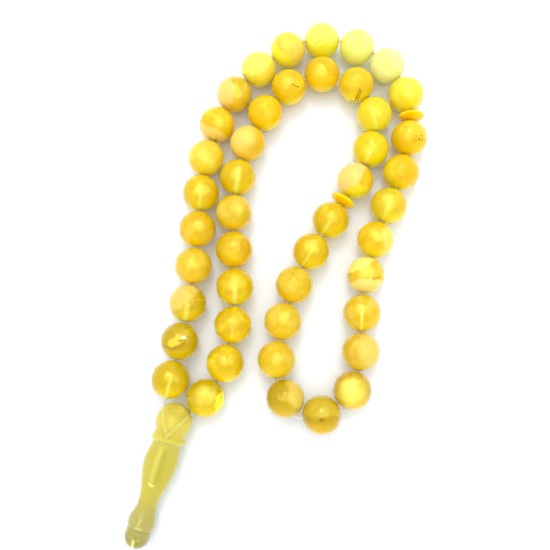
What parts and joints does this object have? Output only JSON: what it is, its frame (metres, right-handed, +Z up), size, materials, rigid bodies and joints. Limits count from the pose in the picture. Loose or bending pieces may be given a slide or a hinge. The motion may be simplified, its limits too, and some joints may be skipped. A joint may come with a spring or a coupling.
{
  "type": "misbaha prayer beads",
  "caption": "Closed strand of ball-shaped amber prayer beads on one thread, parted by lens-shaped separator discs and closed by a turned leader piece, lying in a folded loop.",
  "frame": {"origin": "middle of the laid-out strand on the surface it lies on", "axes": "+Z up from that surface, -Y towards the tip of the imame, +X to the right of the strand seen from above with the imame nearest"},
  "size_m": [0.0956, 0.1706, 0.012],
  "materials": {
    "amber_golden": "polished translucent golden amber",
    "amber_lemon": "polished pale lemon amber, slightly milky",
    "amber_milky": "polished golden amber with milky clouds",
    "amber_olive": "polished olive-gold amber",
    "amber_deep": "polished opaque orange-yellow amber",
    "amber_pale": "polished clear pale greenish-yellow amber",
    "thread": "twisted translucent white nylon thread"
  },
  "bodies": {
    "strand": {"thread_loop": "thread"},
    "bead_01": {"bead_01": "amber_golden"},
    "bead_02": {"bead_02": "amber_golden"},
    "bead_03": {"bead_03": "amber_milky"},
    "bead_04": {"bead_04": "amber_milky"},
    "bead_05": {"bead_05": "amber_golden"},
    "bead_06": {"bead_06": "amber_golden"},
    "bead_07": {"bead_07": "amber_milky"},
    "bead_08": {"bead_08": "amber_golden"},
    "bead_09": {"bead_09": "amber_milky"},
    "bead_10": {"bead_10": "amber_lemon"},
    "bead_11": {"bead_11": "amber_lemon"},
    "bead_12": {"bead_12": "amber_lemon"},
    "bead_13": {"bead_13": "amber_lemon"},
    "bead_14": {"bead_14": "amber_lemon"},
    "bead_15": {"bead_15": "amber_lemon"},
    "separator_1": {"separator_1": "amber_deep"},
    "bead_16": {"bead_16": "amber_golden"},
    "bead_17": {"bead_17": "amber_golden"},
    "bead_18": {"bead_18": "amber_golden"},
    "bead_19": {"bead_19": "amber_golden"},
    "bead_20": {"bead_20": "amber_lemon"},
    "bead_21": {"bead_21": "amber_lemon"},
    "bead_22": {"bead_22": "amber_lemon"},
    "bead_23": {"bead_23": "amber_olive"},
    "bead_24": {"bead_24": "amber_olive"},
    "bead_25": {"bead_25": "amber_olive"},
    "bead_26": {"bead_26": "amber_milky"},
    "bead_27": {"bead_27": "amber_milky"},
    "bead_28": {"bead_28": "amber_milky"},
    "bead_29": {"bead_29": "amber_golden"},
    "bead_30": {"bead_30": "amber_golden"},
    "separator_2": {"separator_2": "amber_deep"},
    "bead_31": {"bead_31": "amber_milky"},
    "bead_32": {"bead_32": "amber_golden"},
    "bead_33": {"bead_33": "amber_golden"},
    "bead_34": {"bead_34": "amber_golden"},
    "bead_35": {"bead_35": "amber_golden"},
    "bead_36": {"bead_36": "amber_golden"},
    "bead_37": {"bead_37": "amber_milky"},
    "bead_38": {"bead_38": "amber_milky"},
    "bead_39": {"bead_39": "amber_golden"},
    "bead_40": {"bead_40": "amber_milky"},
    "bead_41": {"bead_41": "amber_golden"},
    "bead_42": {"bead_42": "amber_golden"},
    "bead_43": {"bead_43": "amber_golden"},
    "bead_44": {"bead_44": "amber_golden"},
    "bead_45": {"bead_45": "amber_golden"},
    "imame": {"imame_head": "amber_pale", "imame_body": "amber_pale", "imame_tip": "amber_pale", "knot": "thread", "thread_leg_left": "thread", "thread_leg_right": "thread"}
  },
  "joints": [
    {"name": "imame_tilt", "type": "hinge", "parent": "strand", "child": "imame", "pos_m": [-0.03274, -0.04471, 0.0057], "axis": [-0.9563, 0.2924, 0], "range_deg": [0, 25]},
    {"name": "bead_01_spin", "type": "hinge", "parent": "strand", "child": "bead_01", "pos_m": [-0.03517, -0.03531, 0.006], "axis": [0.2227, 0.9749, 0], "continuous": true},
    {"name": "bead_02_spin", "type": "hinge", "parent": "strand", "child": "bead_02", "pos_m": [-0.03258, -0.02339, 0.006], "axis": [0.2025, 0.9793, 0], "continuous": true},
    {"name": "bead_03_spin", "type": "hinge", "parent": "strand", "child": "bead_03", "pos_m": [-0.03039, -0.01138, 0.006], "axis": [0.1566, 0.9877, 0], "continuous": true},
    {"name": "bead_04_spin", "type": "hinge", "parent": "strand", "child": "bead_04", "pos_m": [-0.02888, 0.00072, 0.006], "axis": [0.0912, 0.9958, 0], "continuous": true},
    {"name": "bead_05_spin", "type": "hinge", "parent": "strand", "child": "bead_05", "pos_m": [-0.02788, 0.01288, 0.006], "axis": [0.0719, 0.9974, 0], "continuous": true},
    {"name": "bead_06_spin", "type": "hinge", "parent": "strand", "child": "bead_06", "pos_m": [-0.0271, 0.02506, 0.006], "axis": [0.0556, 0.9985, 0], "continuous": true},
    {"name": "bead_07_spin", "type": "hinge", "parent": "strand", "child": "bead_07", "pos_m": [-0.02549, 0.03715, 0.006], "axis": [0.2078, 0.9782, 0], "continuous": true},
    {"name": "bead_08_spin", "type": "hinge", "parent": "strand", "child": "bead_08", "pos_m": [-0.02215, 0.04888, 0.006], "axis": [0.3393, 0.9407, 0], "continuous": true},
    {"name": "bead_09_spin", "type": "hinge", "parent": "strand", "child": "bead_09", "pos_m": [-0.01655, 0.05972, 0.006], "axis": [0.5698, 0.8218, 0], "continuous": true},
    {"name": "bead_10_spin", "type": "hinge", "parent": "strand", "child": "bead_10", "pos_m": [-0.00837, 0.06877, 0.006], "axis": [0.7612, 0.6485, 0], "continuous": true},
    {"name": "bead_11_spin", "type": "hinge", "parent": "strand", "child": "bead_11", "pos_m": [0.00153, 0.0759, 0.006], "axis": [0.8557, 0.5175, 0], "continuous": true},
    {"name": "bead_12_spin", "type": "hinge", "parent": "strand", "child": "bead_12", "pos_m": [0.01325, 0.07928, 0.006], "axis": [0.9999, 0.0162, 0], "continuous": true},
    {"name": "bead_13_spin", "type": "hinge", "parent": "strand", "child": "bead_13", "pos_m": [0.02523, 0.07694, 0.006], "axis": [0.9204, -0.3911, 0], "continuous": true},
    {"name": "bead_14_spin", "type": "hinge", "parent": "strand", "child": "bead_14", "pos_m": [0.03529, 0.07004, 0.006], "axis": [0.6971, -0.717, 0], "continuous": true},
    {"name": "bead_15_spin", "type": "hinge", "parent": "strand", "child": "bead_15", "pos_m": [0.04127, 0.05941, 0.006], "axis": [0.2497, -0.9683, 0], "continuous": true},
    {"name": "separator_1_spin", "type": "hinge", "parent": "strand", "child": "separator_1", "pos_m": [0.04275, 0.05167, 0.006], "axis": [-0.0317, -0.9995, 0], "continuous": true},
    {"name": "bead_16_spin", "type": "hinge", "parent": "strand", "child": "bead_16", "pos_m": [0.04178, 0.04388, 0.006], "axis": [-0.1489, -0.9888, 0], "continuous": true},
    {"name": "bead_17_spin", "type": "hinge", "parent": "strand", "child": "bead_17", "pos_m": [0.03872, 0.03207, 0.006], "axis": [-0.3507, -0.9365, 0], "continuous": true},
    {"name": "bead_18_spin", "type": "hinge", "parent": "strand", "child": "bead_18", "pos_m": [0.03427, 0.02071, 0.006], "axis": [-0.3788, -0.9255, 0], "continuous": true},
    {"name": "bead_19_spin", "type": "hinge", "parent": "strand", "child": "bead_19", "pos_m": [0.0297, 0.0094, 0.006], "axis": [-0.3698, -0.9291, 0], "continuous": true},
    {"name": "bead_20_spin", "type": "hinge", "parent": "strand", "child": "bead_20", "pos_m": [0.0263, -0.00232, 0.006], "axis": [-0.1859, -0.9826, 0], "continuous": true},
    {"name": "bead_21_spin", "type": "hinge", "parent": "strand", "child": "bead_21", "pos_m": [0.02487, -0.01443, 0.006], "axis": [-0.047, -0.9989, 0], "continuous": true},
    {"name": "bead_22_spin", "type": "hinge", "parent": "strand", "child": "bead_22", "pos_m": [0.02422, -0.02662, 0.006], "axis": [-0.0595, -0.9982, 0], "continuous": true},
    {"name": "bead_23_spin", "type": "hinge", "parent": "strand", "child": "bead_23", "pos_m": [0.02136, -0.03848, 0.006], "axis": [-0.4021, -0.9156, 0], "continuous": true},
    {"name": "bead_24_spin", "type": "hinge", "parent": "strand", "child": "bead_24", "pos_m": [0.01171, -0.04591, 0.006], "axis": [-0.9875, -0.1576, 0], "continuous": true},
    {"name": "bead_25_spin", "type": "hinge", "parent": "strand", "child": "bead_25", "pos_m": [0.00059, -0.04099, 0.006], "axis": [-0.5506, 0.8347, 0], "continuous": true},
    {"name": "bead_26_spin", "type": "hinge", "parent": "strand", "child": "bead_26", "pos_m": [-0.00225, -0.02913, 0.006], "axis": [0.1141, 0.9935, 0], "continuous": true},
    {"name": "bead_27_spin", "type": "hinge", "parent": "strand", "child": "bead_27", "pos_m": [-0.00019, -0.0171, 0.006], "axis": [0.2226, 0.9749, 0], "continuous": true},
    {"name": "bead_28_spin", "type": "hinge", "parent": "strand", "child": "bead_28", "pos_m": [0.00346, -0.00546, 0.006], "axis": [0.3734, 0.9277, 0], "continuous": true},
    {"name": "bead_29_spin", "type": "hinge", "parent": "strand", "child": "bead_29", "pos_m": [0.00896, 0.00543, 0.006], "axis": [0.5255, 0.8508, 0], "continuous": true},
    {"name": "bead_30_spin", "type": "hinge", "parent": "strand", "child": "bead_30", "pos_m": [0.01536, 0.01582, 0.006], "axis": [0.5232, 0.8522, 0], "continuous": true},
    {"name": "separator_2_spin", "type": "hinge", "parent": "strand", "child": "separator_2", "pos_m": [0.01948, 0.0225, 0.006], "axis": [0.5299, 0.848, 0], "continuous": true},
    {"name": "bead_31_spin", "type": "hinge", "parent": "strand", "child": "bead_31", "pos_m": [0.02357, 0.0292, 0.006], "axis": [0.5186, 0.855, 0], "continuous": true},
    {"name": "bead_32_spin", "type": "hinge", "parent": "strand", "child": "bead_32", "pos_m": [0.02899, 0.04013, 0.006], "axis": [0.3671, 0.9302, 0], "continuous": true},
    {"name": "bead_33_spin", "type": "hinge", "parent": "strand", "child": "bead_33", "pos_m": [0.03046, 0.05224, 0.006], "axis": [-0.1341, 0.991, 0], "continuous": true},
    {"name": "bead_34_spin", "type": "hinge", "parent": "strand", "child": "bead_34", "pos_m": [0.02466, 0.06297, 0.006], "axis": [-0.7559, 0.6547, 0], "continuous": true},
    {"name": "bead_35_spin", "type": "hinge", "parent": "strand", "child": "bead_35", "pos_m": [0.01313, 0.06696, 0.006], "axis": [-0.9989, -0.0462, 0], "continuous": true},
    {"name": "bead_36_spin", "type": "hinge", "parent": "strand", "child": "bead_36", "pos_m": [0.00188, 0.06225, 0.006], "axis": [-0.7335, -0.6797, 0], "continuous": true},
    {"name": "bead_37_spin", "type": "hinge", "parent": "strand", "child": "bead_37", "pos_m": [-0.00608, 0.05301, 0.006], "axis": [-0.5642, -0.8256, 0], "continuous": true},
    {"name": "bead_38_spin", "type": "hinge", "parent": "strand", "child": "bead_38", "pos_m": [-0.01183, 0.04225, 0.006], "axis": [-0.3728, -0.9279, 0], "continuous": true},
    {"name": "bead_39_spin", "type": "hinge", "parent": "strand", "child": "bead_39", "pos_m": [-0.015, 0.03046, 0.006], "axis": [-0.1428, -0.9898, 0], "continuous": true},
    {"name": "bead_40_spin", "type": "hinge", "parent": "strand", "child": "bead_40", "pos_m": [-0.01612, 0.01832, 0.006], "axis": [-0.0408, -0.9992, 0], "continuous": true},
    {"name": "bead_41_spin", "type": "hinge", "parent": "strand", "child": "bead_41", "pos_m": [-0.01593, 0.00612, 0.006], "axis": [0.0719, -0.9974, 0], "continuous": true},
    {"name": "bead_42_spin", "type": "hinge", "parent": "strand", "child": "bead_42", "pos_m": [-0.01549, -0.00607, 0.006], "axis": [0.0003, -1, 0], "continuous": true},
    {"name": "bead_43_spin", "type": "hinge", "parent": "strand", "child": "bead_43", "pos_m": [-0.01591, -0.01827, 0.006], "axis": [-0.0692, -0.9976, 0], "continuous": true},
    {"name": "bead_44_spin", "type": "hinge", "parent": "strand", "child": "bead_44", "pos_m": [-0.01817, -0.03026, 0.006], "axis": [-0.2983, -0.9545, 0], "continuous": true},
    {"name": "bead_45_spin", "type": "hinge", "parent": "strand", "child": "bead_45", "pos_m": [-0.02408, -0.04093, 0.006], "axis": [-0.6514, -0.7588, 0], "continuous": true}
  ]
}
